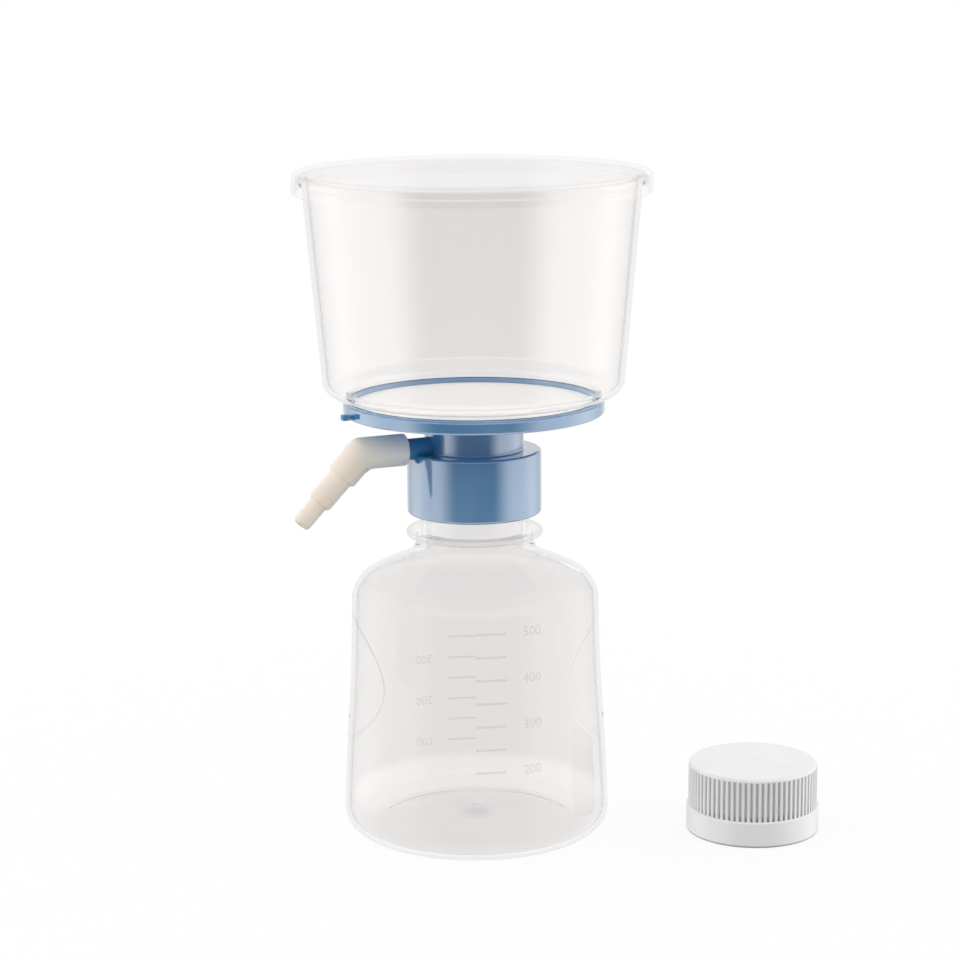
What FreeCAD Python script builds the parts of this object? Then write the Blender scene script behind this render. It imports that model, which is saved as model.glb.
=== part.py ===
import FreeCAD, Part
import math
import os

# Vacuum filtration unit: a clear funnel bonded to a blue filter base, screwed on a clear receiver bottle.
# Millimetres. Z points up, the bottle's axis is the Z axis and the bottle stands on z = 0.
# Front is -Y.  Radii end in _R, thicknesses and walls in _T, heights above the foot in _Z.

Vector = FreeCAD.Vector
UP = Vector(0, 0, 1)
ORIGIN = Vector(0, 0, 0)

# ---- receiver bottle -----------------------------------------------------------------------------
BOTTLE_WALL = 2.0
HEEL_BODY_R = 47.5           # the body's straight side, extended down to the foot plane
BODY_DRAFT = 0.0480          # radius lost per millimetre of height
HEEL_FILLET = 8.0
FOOT_INNER_R = 36.0
PUSH_UP = 3.2                # rise of the bottle's floor inside the foot ring
PUSH_UP_R = 29.0
SHOULDER_START_Z = 101.0     # where the shoulder's cone meets the neck
SHOULDER_ANGLE = 24.7        # degrees below level
SHOULDER_FILLET = 10.2
NECK_FILLET = 7.4
LOWER_NECK_R = 20.4
RING_R = 24.0                # support ring under the thread
RING_BOTTOM_Z = 106.8
RING_T = 2.0
FINISH_R = 19.0              # root of the thread
MOUTH_Z = 133.4
MOUTH_BORE_R = 16.8

# finger grips, one on each side
GRIP_HALF_WIDTH = 31.3
GRIP_HALF_HEIGHT = 22.8
GRIP_CENTRE_Z = 57.5
GRIP_DEPTH = 0.4             # in the middle
GRIP_FLOOR_SHIFT = 2.0       # the floor is rounder than the side by this much, so it is deepest at both ends
GRIP_STEP_WALL = 1.5         # wall left beside the step round the grip

# ---- screw thread shared by bottle, collar and cap -----------------------------------------------
THREAD_PITCH = 4.23
THREAD_DEPTH = 1.7
THREAD_ROOT_WIDTH = 2.2
THREAD_CREST_WIDTH = 1.0
THREAD_RADIAL_GAP = 0.5      # crest to root, either side
THREAD_FLANK_GAP = 0.3       # loaded flank, with the collar tight
BOTTLE_THREAD_TURNS = 2.0
NUT_THREAD_TURNS = 1.5
THREAD_BOTTOM_BELOW_MOUTH = 11.6
THREAD_BITE = 0.4            # how far a ridge is rooted in its wall

# ---- neck seal -----------------------------------------------------------------------------------
SEAL_T = 1.3
SEAL_GAP = 0.1               # above and below the ring
SEAL_OUTER_R = 20.6
SEAL_INNER_R = 15.9

# ---- filter base ---------------------------------------------------------------------------------
COLLAR_R = 23.55
COLLAR_BOTTOM_Z = 114.8
COLLAR_ROOF_T = 2.26
COLLAR_EDGE = 1.0
BASE_NECK_R = 17.4
BASE_NECK_T = 2.0
PLATE_BOTTOM_Z = 150.3
RIM_R = 45.6
RIM_EDGE = 1.2               # rounding of the rim's upper edge
RIM_TOP_Z = 155.0
MEMBRANE_SEAT_Z = 153.1
MEMBRANE_WELL_R = 42.5
SEAT_WIDTH = 1.2             # flat ring that carries the membrane's edge
PAN_EDGE_DEPTH = 0.5         # drain pan below the seat, at its edge and at the drain
PAN_DRAIN_DEPTH = 1.2
LONG_RIB_COUNT = 12
RIB_T = 0.9
LONG_RIB_START_R = 6.0
SHORT_RIB_START_R = 20.0
DRIP_R = 4.0
DRIP_BORE_R = 2.6
DRIP_END_Z = 131.0
TAB_LENGTH = 3.8
TAB_WIDTH = 2.8
TAB_T = 2.0
TAB_LIFT = 0.7               # above the plate's underside

# ---- vacuum port and hose adapter ----------------------------------------------------------------
PORT_AZIMUTH = 204.0         # degrees about +Z from +X
PORT_Z = 139.0
PORT_R = 3.65
PORT_BORE_R = 2.1
PORT_END = 35.6              # distance of the port's end from the bottle's axis
PORT_LEAD_IN = 0.5
PLUG_LENGTH = 8.0
PLUG_GAP = 0.05
PLUG_START = 24.0
SOCKET_GAP = 0.05            # running fit of the socket on the port
SOCKET_START = 26.3
SOCKET_OVERRUN = 0.6         # free depth past the port's end
SOCKET_R = 5.6
ELBOW = 42.3                 # distance of the elbow's centre from the bottle's axis
LEG_DROP = 45.0              # degrees below level
HOSE_BORE_R = 1.9
STEP_START = 3.3             # foot of the first hose step, along the leg from the elbow's centre
STEP_RADII = (5.4, 4.3, 3.2)
STEP_ENDS = (11.0, 22.7, 32.4)   # along the leg, from the elbow's centre
STEP_CONE = 1.2
SOCKET_EDGE = 0.6
MITRED = 1                   # the pipe builder's mode for sharp corners

# ---- membrane, funnel and lid --------------------------------------------------------------------
MEMBRANE_T = 0.25
MEMBRANE_GAP = 0.2           # to the wall of its well
FUNNEL_WALL = 2.0
FUNNEL_FOOT_R = 44.3
FUNNEL_FOOT_H = 2.0          # clear ring between the plate's rim and the funnel's underside
FUNNEL_FLOOR_T = 2.0
FUNNEL_CORNER = 5.2
FUNNEL_BASE_R = 52.55        # outer wall, at the height of the next value
FUNNEL_BASE_Z = 161.3
FUNNEL_DRAFT = 0.0880        # radius gained per millimetre of height
FUNNEL_TOP_Z = 232.55
FUNNEL_RIM_R = 60.0
FUNNEL_RIM_H = 2.6
LID_SEAT_GAP = 0.15
LID_TOP_T = 1.8
LID_SKIRT_T = 1.4
LID_SKIRT_GAP = 0.5          # skirt to funnel rim
LID_SKIRT_H = 7.4
LID_EDGE = 2.2
LID_DRAFT = 0.05             # the skirt flares by this much per millimetre

# ---- storage cap, standing beside the bottle -----------------------------------------------------
CAP_X = 98.3
CAP_Y = -6.7
CAP_BAND_R = 23.5
CAP_BAND_H = 9.2
CAP_GRIP_R = 22.8
CAP_H = 24.6
CAP_TOP_T = 2.0
CAP_EDGE = 1.6
CAP_RIB_COUNT = 72
CAP_RIB_DEPTH = 0.6
CAP_RIB_TOP_LAND = 1.4       # plain edge above the ribs
LINER_T = 1.2
LINER_GAP = 0.2

# ---- sizes that follow from those above ----------------------------------------------------------
COLLAR_ROOF_Z = MOUTH_Z + SEAL_GAP + SEAL_T + SEAL_GAP
COLLAR_TOP_Z = COLLAR_ROOF_Z + COLLAR_ROOF_T
THREAD_CREST_R = FINISH_R + THREAD_DEPTH
NUT_ROOT_R = THREAD_CREST_R + THREAD_RADIAL_GAP
BASE_NECK_BORE_R = BASE_NECK_R - BASE_NECK_T
FUNNEL_UNDERSIDE_Z = RIM_TOP_Z + FUNNEL_FOOT_H
LID_UNDERSIDE_Z = FUNNEL_TOP_Z + LID_SEAT_GAP
LID_TOP_Z = LID_UNDERSIDE_Z + LID_TOP_T


# ---- building blocks -----------------------------------------------------------------------------
def at(radius, height):
    """A point of a half-section, in the XZ plane."""
    return Vector(radius, 0, height)


def rounded_outline(corners):
    """A closed wire in the XZ plane through (radius, height, fillet) corners, with the fillets as arcs."""
    points = [at(c[0], c[1]) for c in corners]
    fillets = [c[2] if len(c) > 2 else 0.0 for c in corners]
    starts, ends, middles = [], [], []
    count = len(points)
    for i, here in enumerate(points):
        if fillets[i] <= 0:
            starts.append(here)
            ends.append(here)
            middles.append(None)
            continue
        back = (points[i - 1] - here).normalize()
        ahead = (points[(i + 1) % count] - here).normalize()
        half = back.getAngle(ahead) / 2
        reach = fillets[i] / math.tan(half)
        centre = here + (back + ahead).normalize() * (fillets[i] / math.sin(half))
        starts.append(here + back * reach)
        ends.append(here + ahead * reach)
        middles.append(centre + (here - centre).normalize() * fillets[i])
    edges = []
    for i in range(count):
        if middles[i] is not None:
            edges.append(Part.Arc(starts[i], middles[i], ends[i]).toShape())
        following = starts[(i + 1) % count]
        if ends[i].distanceToPoint(following) > 1e-6:
            edges.append(Part.LineSegment(ends[i], following).toShape())
    return Part.Wire(edges)


def turned(corners):
    """The solid of revolution about Z of a rounded outline."""
    return Part.Face(rounded_outline(corners)).revolve(ORIGIN, UP, 360)


def rod(radius, start, direction, length):
    return Part.makeCylinder(radius, length, start, direction)


def thread_ridge(wall_radius, outward, bottom_z, turns):
    """One helical ridge on a wall; outward is +1 on a bolt and -1 in a nut."""
    path = Part.makeHelix(THREAD_PITCH, THREAD_PITCH * turns, wall_radius)
    root, crest = THREAD_ROOT_WIDTH / 2, THREAD_CREST_WIDTH / 2
    flank = (root - crest) / THREAD_DEPTH * THREAD_BITE
    inner = wall_radius - outward * THREAD_BITE
    tip = wall_radius + outward * THREAD_DEPTH
    section = Part.makePolygon([at(inner, -root - flank), at(tip, -crest), at(tip, crest),
                                at(inner, root + flank), at(inner, -root - flank)])
    ridge = path.makePipeShell([section], True, True)
    ridge.translate(Vector(0, 0, bottom_z))
    return ridge


def nut_thread_bottom(mouth_z):
    """Height of a nut's ridge: half a pitch below the bottle's, then up until the flanks nearly meet."""
    bottle_bottom = mouth_z - THREAD_BOTTOM_BELOW_MOUTH
    mid_width = THREAD_ROOT_WIDTH + THREAD_CREST_WIDTH
    overlap_width = mid_width - (THREAD_ROOT_WIDTH - THREAD_CREST_WIDTH) * THREAD_RADIAL_GAP / THREAD_DEPTH
    free = (THREAD_PITCH - overlap_width) / 2
    return bottle_bottom - THREAD_PITCH / 2 + (free - THREAD_FLANK_GAP)


def one_solid(shape):
    shape = shape.removeSplitter()
    assert len(shape.Solids) == 1 and shape.isValid()
    return shape.Solids[0]


# ---- receiver bottle -----------------------------------------------------------------------------
def body_radius(z):
    return HEEL_BODY_R - BODY_DRAFT * z


def shoulder_corner(inset):
    """Where the shoulder's cone meets the body's side, both moved inwards by inset."""
    slope = math.tan(math.radians(SHOULDER_ANGLE))
    drop = inset / math.cos(math.radians(SHOULDER_ANGLE))
    # z = SHOULDER_START_Z - drop - slope * (r - LOWER_NECK_R) and r = body_radius(z) - inset
    z = SHOULDER_START_Z - drop - slope * (HEEL_BODY_R - inset - LOWER_NECK_R)
    z = z / (1 - slope * BODY_DRAFT)
    return body_radius(z) - inset, z


def bottle_outside():
    corner_r, corner_z = shoulder_corner(0)
    ring_top = RING_BOTTOM_Z + RING_T
    ring_edge = RING_T * 0.4
    return turned([
        (0, PUSH_UP), (PUSH_UP_R, PUSH_UP, 6), (FOOT_INNER_R, 0, 1.5),
        (HEEL_BODY_R, 0, HEEL_FILLET), (corner_r, corner_z, SHOULDER_FILLET),
        (LOWER_NECK_R, SHOULDER_START_Z, NECK_FILLET), (LOWER_NECK_R, RING_BOTTOM_Z),
        (RING_R, RING_BOTTOM_Z, ring_edge), (RING_R, ring_top, ring_edge), (FINISH_R, ring_top),
        (FINISH_R, MOUTH_Z, 0.6), (0, MOUTH_Z)])


def bottle_inside():
    t = BOTTLE_WALL
    corner_r, corner_z = shoulder_corner(t)
    slope = math.tan(math.radians(SHOULDER_ANGLE))
    neck_z = corner_z + slope * (corner_r - MOUTH_BORE_R)
    return turned([
        (0, PUSH_UP + t), (PUSH_UP_R, PUSH_UP + t, 6), (FOOT_INNER_R - t / 2, t, 2),
        (HEEL_BODY_R - t, t, HEEL_FILLET - t), (corner_r, corner_z, SHOULDER_FILLET - t),
        (MOUTH_BORE_R, neck_z, NECK_FILLET + t), (MOUTH_BORE_R, MOUTH_Z + 1), (0, MOUTH_Z + 1)])


def grip_cut(side, inset, growth):
    """The space cut away for one finger grip, on the skin that lies an inset under the outer one.

    The oval is wider by the growth all round; side is +1 or -1 along X.
    """
    half_width = GRIP_HALF_WIDTH + growth
    half_height = GRIP_HALF_HEIGHT + growth
    centre = at(0, GRIP_CENTRE_Z)
    across = centre + Vector(0, half_width, 0)
    above = centre + Vector(0, 0, half_height)
    oval = Part.Ellipse(across, above, centre).toShape()
    prism = Part.Face(Part.Wire(oval)).extrude(Vector(side * (HEEL_BODY_R + 10), 0, 0))
    bottom_z, top_z = GRIP_CENTRE_Z - half_height - 1, GRIP_CENTRE_Z + half_height + 1
    under = GRIP_DEPTH + inset + GRIP_FLOOR_SHIFT
    floor = Part.makeCone(body_radius(bottom_z) - under, body_radius(top_z) - under, top_z - bottom_z,
                          Vector(side * GRIP_FLOOR_SHIFT, 0, bottom_z))
    return prism.cut(floor)


def receiver_bottle():
    outside, inside = bottle_outside(), bottle_inside()
    for side in (1, -1):
        outside = outside.cut(grip_cut(side, 0, 0))
        inside = inside.cut(grip_cut(side, BOTTLE_WALL, GRIP_STEP_WALL))
    ridge = thread_ridge(FINISH_R, 1, MOUTH_Z - THREAD_BOTTOM_BELOW_MOUTH, BOTTLE_THREAD_TURNS)
    return one_solid(outside.fuse(ridge).cut(inside))


def neck_seal():
    bottom = MOUTH_Z + SEAL_GAP
    return turned([(SEAL_INNER_R, bottom), (SEAL_OUTER_R, bottom), (SEAL_OUTER_R, bottom + SEAL_T),
                   (SEAL_INNER_R, bottom + SEAL_T)])


# ---- filter base ---------------------------------------------------------------------------------
def radial(azimuth, distance, z):
    a = math.radians(azimuth)
    return Vector(distance * math.cos(a), distance * math.sin(a), z)


def plate_rib(azimuth, start_r):
    """One upright rib in the drain pan, as high as the membrane's seat."""
    end_r = MEMBRANE_WELL_R - SEAT_WIDTH / 2
    depth = PAN_DRAIN_DEPTH + 0.3
    rib = Part.makeBox(end_r - start_r, RIB_T, depth, Vector(start_r, -RIB_T / 2, MEMBRANE_SEAT_Z - depth))
    rib.rotate(ORIGIN, UP, azimuth)
    return rib


def filter_base():
    pan_r = MEMBRANE_WELL_R - SEAT_WIDTH
    body = turned([
        (DRIP_BORE_R, MEMBRANE_SEAT_Z - PAN_DRAIN_DEPTH), (pan_r, MEMBRANE_SEAT_Z - PAN_EDGE_DEPTH),
        (pan_r, MEMBRANE_SEAT_Z), (MEMBRANE_WELL_R, MEMBRANE_SEAT_Z), (MEMBRANE_WELL_R, RIM_TOP_Z),
        (RIM_R, RIM_TOP_Z, RIM_EDGE), (RIM_R, PLATE_BOTTOM_Z, 0.8),
        (BASE_NECK_R, PLATE_BOTTOM_Z, 0.8), (BASE_NECK_R, COLLAR_TOP_Z, 0.6),
        (COLLAR_R, COLLAR_TOP_Z, COLLAR_EDGE), (COLLAR_R, COLLAR_BOTTOM_Z, COLLAR_EDGE),
        (NUT_ROOT_R, COLLAR_BOTTOM_Z, 0.5), (NUT_ROOT_R, COLLAR_ROOF_Z), (BASE_NECK_BORE_R, COLLAR_ROOF_Z),
        (BASE_NECK_BORE_R, PLATE_BOTTOM_Z), (DRIP_R, PLATE_BOTTOM_Z), (DRIP_R, DRIP_END_Z),
        (DRIP_BORE_R, DRIP_END_Z)])
    out = radial(PORT_AZIMUTH, 1, 0)
    added = []
    for i in range(LONG_RIB_COUNT):
        step = 360 / LONG_RIB_COUNT
        added.append(plate_rib(i * step, LONG_RIB_START_R))
        added.append(plate_rib((i + 0.5) * step, SHORT_RIB_START_R))
    wall_middle = (BASE_NECK_R + BASE_NECK_BORE_R) / 2
    port = rod(PORT_R, radial(PORT_AZIMUTH, wall_middle, PORT_Z), out, PORT_END - PORT_LEAD_IN - wall_middle)
    lead_in = Part.makeCone(PORT_R, PORT_R - PORT_LEAD_IN, PORT_LEAD_IN,
                            radial(PORT_AZIMUTH, PORT_END - PORT_LEAD_IN, PORT_Z), out)
    added += [port, lead_in, base_tab()]
    added.append(thread_ridge(NUT_ROOT_R, -1, nut_thread_bottom(MOUTH_Z), NUT_THREAD_TURNS))
    bore_start = BASE_NECK_BORE_R - 2
    bore = rod(PORT_BORE_R, radial(PORT_AZIMUTH, bore_start, PORT_Z), out, PORT_END + 1 - bore_start)
    return one_solid(body.fuse(added).cut(bore))


def base_tab():
    """A small tab on the rim, above the port."""
    root = 1.5
    tab = Part.makeBox(TAB_LENGTH + root, TAB_WIDTH, TAB_T,
                       Vector(RIM_R - root, -TAB_WIDTH / 2, PLATE_BOTTOM_Z + TAB_LIFT))
    corners = [e for e in tab.Edges if all(v.X > RIM_R for v in e.Vertexes)]
    tab = tab.makeFillet(0.6, corners)
    tab.rotate(ORIGIN, UP, PORT_AZIMUTH)
    return tab


def membrane():
    return rod(MEMBRANE_WELL_R - MEMBRANE_GAP, at(0, MEMBRANE_SEAT_Z), UP, MEMBRANE_T)


def port_plug():
    return rod(PORT_BORE_R - PLUG_GAP, radial(PORT_AZIMUTH, PLUG_START, PORT_Z), radial(PORT_AZIMUTH, 1, 0),
               PLUG_LENGTH)


# ---- funnel and lid ------------------------------------------------------------------------------
def funnel_radius(z):
    return FUNNEL_BASE_R + FUNNEL_DRAFT * (z - FUNNEL_BASE_Z)


def funnel():
    under = FUNNEL_UNDERSIDE_Z
    floor = under + FUNNEL_FLOOR_T
    rim_bottom = FUNNEL_TOP_Z - FUNNEL_RIM_H
    t = FUNNEL_WALL
    return one_solid(turned([
        (FUNNEL_FOOT_R, RIM_TOP_Z), (FUNNEL_FOOT_R, under, 0.5),
        (funnel_radius(under), under, FUNNEL_CORNER),
        (funnel_radius(rim_bottom), rim_bottom, 0.5), (FUNNEL_RIM_R, rim_bottom, 0.5),
        (FUNNEL_RIM_R, FUNNEL_TOP_Z, 0.5), (funnel_radius(FUNNEL_TOP_Z) - t, FUNNEL_TOP_Z, 0.4),
        (funnel_radius(floor) - t, floor, FUNNEL_CORNER - t), (MEMBRANE_WELL_R, floor, 0.5),
        (MEMBRANE_WELL_R, RIM_TOP_Z)]))


def lid():
    bore_top = FUNNEL_RIM_R + LID_SKIRT_GAP
    bottom = LID_TOP_Z - LID_SKIRT_H
    flare = LID_DRAFT * (LID_UNDERSIDE_Z - bottom)
    out_top = bore_top + LID_SKIRT_T
    return one_solid(turned([
        (0, LID_UNDERSIDE_Z), (bore_top, LID_UNDERSIDE_Z, LID_EDGE - LID_SKIRT_T),
        (bore_top + flare, bottom, 0.3), (out_top + flare, bottom, 0.6),
        (out_top, LID_TOP_Z, LID_EDGE), (0, LID_TOP_Z)]))


# ---- hose adapter --------------------------------------------------------------------------------
def elbow_bar(radius, start, leg_end):
    """A round bar from a distance along the port, mitred at the elbow, to a distance along the leg."""
    out = radial(PORT_AZIMUTH, 1, 0)
    first = radial(PORT_AZIMUTH, start, PORT_Z)
    path = Part.makePolygon([first, leg_point(0), leg_point(leg_end)])
    pipe = Part.BRepOffsetAPI.MakePipeShell(path)
    pipe.setTransitionMode(MITRED)
    pipe.add(Part.Wire(Part.Circle(first, out, radius).toShape()))
    pipe.build()
    pipe.makeSolid()
    return pipe.shape()


def leg_direction():
    drop = math.radians(LEG_DROP)
    return radial(PORT_AZIMUTH, 1, 0) * math.cos(drop) - UP * math.sin(drop)


def leg_point(distance):
    return radial(PORT_AZIMUTH, ELBOW, PORT_Z) + leg_direction() * distance


def hose_adapter():
    out = radial(PORT_AZIMUTH, 1, 0)
    socket_face = radial(PORT_AZIMUTH, SOCKET_START, PORT_Z)
    body = elbow_bar(SOCKET_R, SOCKET_START, STEP_START)
    body = body.makeFillet(SOCKET_EDGE, [nearest_edge(body, socket_face)])
    pieces = []
    starts = (STEP_START, *STEP_ENDS)
    for i, (radius, start, end) in enumerate(zip(STEP_RADII, starts, STEP_ENDS)):
        last = i == len(STEP_RADII) - 1
        tip_radius = radius - STEP_CONE / 2 if last else (radius + STEP_RADII[i + 1]) / 2
        pieces.append(rod(radius, leg_point(start), leg_direction(), end - STEP_CONE - start))
        cone_start = leg_point(end - STEP_CONE)
        pieces.append(Part.makeCone(radius, tip_radius, STEP_CONE, cone_start, leg_direction()))
    hose_bore = elbow_bar(HOSE_BORE_R, PORT_END, STEP_ENDS[-1] + 1)
    hole_depth = PORT_END + SOCKET_OVERRUN - SOCKET_START
    port_hole = rod(PORT_R + SOCKET_GAP, socket_face - out, out, hole_depth + 1)
    return one_solid(body.fuse(pieces).cut(hose_bore.fuse(port_hole)))


def nearest_edge(shape, point):
    return min(shape.Edges, key=lambda edge: edge.CenterOfMass.distanceToPoint(point))


# ---- storage cap ---------------------------------------------------------------------------------
def ribbed_section():
    """The grip's outline seen from above: flat-topped ribs with sloping sides."""
    step = 2 * math.pi / CAP_RIB_COUNT
    points = []
    for i in range(CAP_RIB_COUNT):
        for share, radius in ((0.0, CAP_GRIP_R), (0.35, CAP_GRIP_R),
                              (0.55, CAP_GRIP_R - CAP_RIB_DEPTH), (0.8, CAP_GRIP_R - CAP_RIB_DEPTH)):
            angle = (i + share) * step
            points.append(Vector(radius * math.cos(angle), radius * math.sin(angle), 0))
    return Part.Face(Part.makePolygon(points + points[:1]))


def storage_cap():
    """The cap stands open end down, so its roof is on top."""
    band = turned([(0, 0), (CAP_BAND_R, 0, 0.6), (CAP_BAND_R, CAP_BAND_H, 0.6), (0, CAP_BAND_H)])
    rib_top = CAP_H - CAP_RIB_TOP_LAND
    ribs = ribbed_section().extrude(Vector(0, 0, rib_top - CAP_BAND_H / 2))
    ribs.translate(Vector(0, 0, CAP_BAND_H / 2))
    groove_r = CAP_GRIP_R - CAP_RIB_DEPTH
    head = turned([(0, CAP_BAND_H / 2), (groove_r, CAP_BAND_H / 2), (groove_r, CAP_H, CAP_EDGE), (0, CAP_H)])
    envelope = turned([(0, 0), (CAP_BAND_R, 0), (CAP_BAND_R, CAP_BAND_H), (CAP_GRIP_R, CAP_BAND_H),
                       (CAP_GRIP_R, CAP_H, CAP_EDGE), (0, CAP_H)])
    hollow = turned([(0, -1), (NUT_ROOT_R, -1), (NUT_ROOT_R, CAP_H - CAP_TOP_T), (0, CAP_H - CAP_TOP_T)])
    ridge = thread_ridge(NUT_ROOT_R, -1, CAP_BAND_H / 2, NUT_THREAD_TURNS)
    solid = band.fuse([ribs.common(envelope), head]).cut(hollow).fuse(ridge)
    solid.translate(Vector(CAP_X, CAP_Y, 0))
    return one_solid(solid)


def cap_liner():
    disc = rod(NUT_ROOT_R - LINER_GAP, at(0, CAP_H - CAP_TOP_T - LINER_T), UP, LINER_T)
    disc.translate(Vector(CAP_X, CAP_Y, 0))
    return disc


PIECES = {
    "receiver_bottle": receiver_bottle,
    "neck_seal": neck_seal,
    "filter_base": filter_base,
    "membrane": membrane,
    "port_plug": port_plug,
    "funnel": funnel,
    "lid": lid,
    "hose_adapter": hose_adapter,
    "storage_cap": storage_cap,
    "cap_liner": cap_liner,
}

os.makedirs("parts", exist_ok=True)
for name, build in PIECES.items():
    solid = build()
    solid.exportStep("parts/" + name + ".step")
    print(name, "volume cm3", round(solid.Volume / 1000, 2), "valid", solid.isValid())
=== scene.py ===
"""Looks for a vacuum filtration unit: clear funnel, lid and bottle, blue base, hose adapter, spare cap."""

import math

import bmesh
import bpy
from bpy.props import FloatProperty, FloatVectorProperty, PointerProperty
from mathutils import Matrix, Vector


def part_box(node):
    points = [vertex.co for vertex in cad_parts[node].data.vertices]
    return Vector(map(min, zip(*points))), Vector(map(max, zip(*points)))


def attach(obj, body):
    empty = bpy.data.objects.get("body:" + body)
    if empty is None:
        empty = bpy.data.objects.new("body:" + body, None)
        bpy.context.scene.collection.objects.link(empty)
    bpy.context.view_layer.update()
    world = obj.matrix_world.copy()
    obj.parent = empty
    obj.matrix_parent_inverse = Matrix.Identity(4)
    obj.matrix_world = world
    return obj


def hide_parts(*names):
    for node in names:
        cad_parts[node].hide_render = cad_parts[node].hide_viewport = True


bl_info = {
    "name": "Vacuum filtration unit",
    "version": (1, 0, 0),
    "blender": (4, 5, 0),
    "location": "View3D > Sidebar > Filtration",
    "description": "A clear funnel on a blue filter base and bottle, with its lid, hose adapter and cap",
    "category": "Object",
}

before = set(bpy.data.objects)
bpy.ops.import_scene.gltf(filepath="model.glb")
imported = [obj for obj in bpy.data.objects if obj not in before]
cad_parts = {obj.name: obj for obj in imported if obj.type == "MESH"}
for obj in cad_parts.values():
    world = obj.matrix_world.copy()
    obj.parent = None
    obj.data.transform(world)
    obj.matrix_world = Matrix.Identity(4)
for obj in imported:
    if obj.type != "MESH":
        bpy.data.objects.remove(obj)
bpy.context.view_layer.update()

MM = 0.001
TURN = 2 * math.pi
STEPS = 192                  # faces round a turned piece
CUP_STEPS = 224              # and round the funnel and the lid
FILLET_STEP = math.radians(11)   # turn of one face of a rounding
SMALL_FILLET = 1.0           # roundings under this radius have few faces
SMALL_FILLET_STEPS = 4
MERGE = 0.001                # vertices closer than this are one
QUARTER = math.radians(90)


def low(node):
    """The lowest corner of a CAD node, in millimetres."""
    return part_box(node)[0] / MM


def high(node):
    """The highest corner of a CAD node, in millimetres."""
    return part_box(node)[1] / MM


MOUTH_Z = high("receiver_bottle").z
MEMBRANE_Z = low("membrane").z
RIM_Z = low("funnel").z
FUNNEL_TOP_Z = high("funnel").z
LID_TOP_Z = high("lid").z
CAP_CENTRE = (low("storage_cap") + high("storage_cap")) / 2
CAP_TOP_Z = high("storage_cap").z


# ---- node trees ----------------------------------------------------------------------------------
class Term:
    """An output socket of a node tree. Arithmetic on it adds Math nodes."""

    def __init__(self, nodes, socket):
        self.nodes = nodes
        self.socket = socket

    def maths(self, operation, *values):
        return self.nodes.add("Math", {"operation": operation}, dict(enumerate(values)))

    def root(self):
        return self.maths("SQRT", self)

    def __add__(self, other):
        return self.maths("ADD", self, other)

    def __sub__(self, other):
        return self.maths("SUBTRACT", self, other)

    def __rsub__(self, other):
        return self.maths("SUBTRACT", other, self)

    def __mul__(self, other):
        return self.maths("MULTIPLY", self, other)

    def __neg__(self):
        return self.maths("MULTIPLY", self, -1)

    def __abs__(self):
        return self.maths("ABSOLUTE", self)

    __radd__ = __add__
    __rmul__ = __mul__

    def most(self, other):
        return self.maths("MAXIMUM", self, other)

    def least(self, other):
        return self.maths("MINIMUM", self, other)

    def rise(self, start, end):
        """0 up to start, 1 past end, and a smooth step between."""
        return self.nodes.add("MapRange", {"interpolation_type": "SMOOTHSTEP"},
                              {"Value": self, "From Min": start, "From Max": end})


class Nodes:
    """A node tree that is filled by add()."""

    def __init__(self, tree):
        self.tree = tree
        tree.nodes.clear()

    def add(self, kind, settings=None, sockets=None, out=0):
        """Adds one node: its settings are set first, then the values or links of its sockets."""
        node = self.tree.nodes.new("ShaderNode" + kind)
        for name, value in (settings or {}).items():
            setattr(node, name, value)
        for name, value in (sockets or {}).items():
            if isinstance(value, Term):
                self.tree.links.new(value.socket, node.inputs[name])
            else:
                node.inputs[name].default_value = value
        return Term(self, node.outputs[out]) if node.outputs else None

    def mix_colour(self, share, first, second):
        """The colour first where share is 0 and second where it is 1."""
        return self.add("Mix", {"data_type": "RGBA"}, {0: share, 6: first, 7: second}, out=2)

    def noise(self, scale, detail=2.0, stretch=(1, 1, 1)):
        """Noise in the object's own metres."""
        point = self.add("TexCoord", out="Object")
        if stretch != (1, 1, 1):
            point = self.add("Mapping", {}, {"Vector": point, "Scale": stretch})
        return self.add("TexNoise", {}, {"Vector": point, "Scale": scale, "Detail": detail})

    def axes(self, kind="Object"):
        """X, Y and Z: the object's own, in metres, or a world's direction."""
        split = self.add("SeparateXYZ", {}, {0: self.add("TexCoord", out=kind)})
        return [Term(self, split.socket.node.outputs[i]) for i in range(3)]

    def fine_grain(self):
        """The satin grain that a mould leaves."""
        return self.add("Bump", {}, {"Strength": 0.15, "Distance": 0.04 * MM, "Height": self.noise(1800.0)})


def new_finish(name):
    material = bpy.data.materials.new(name)
    material.use_nodes = True
    return material, Nodes(material.node_tree)


def rgba(colour):
    """A colour as a node socket takes it, fully opaque."""
    return (*colour, 1.0)


# ---- finishes ------------------------------------------------------------------------------------
LET_THROUGH = (0.98, 0.98, 0.98)     # what clear plastic does to shadows and soft light
# a painted pale band of light on the far side of the bottle's heel
PAINTED_HEEL_LIGHT = (0.97, 0.965, 0.96)
PAINTED_GATE_RING_SHADE = (0.74, 0.735, 0.74)     # painted shade at the gate of the bottle's floor and along its neck ring
# a painted dark line along the front edges of the grips
GRIP_EDGE_SHADE = (0.5, 0.5, 0.505)
BLUE_FLOW = (0.62, 0.74, 0.88)
CREAM_FLOW = (0.84, 0.75, 0.64)
WHITE_FLOW = (0.80, 0.805, 0.81)
# painted shade in the cap's grooves, darkest at their foot
GROOVE_FOOT_SHADE = (0.22, 0.225, 0.23)
GROOVE_TOP_SHADE = (0.42, 0.43, 0.435)
# a painted contact shadow along the cap's foot
CAP_FOOT_SHADOW = (0.16, 0.165, 0.17)
HEEL_START_R = (35, 38)              # the painted light on the heel sets in over these radii
HEEL_END_Z = (8, 14)                 # and fades out over these heights
FAR_SIDE = 20                        # and is full this far behind the axis
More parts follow.
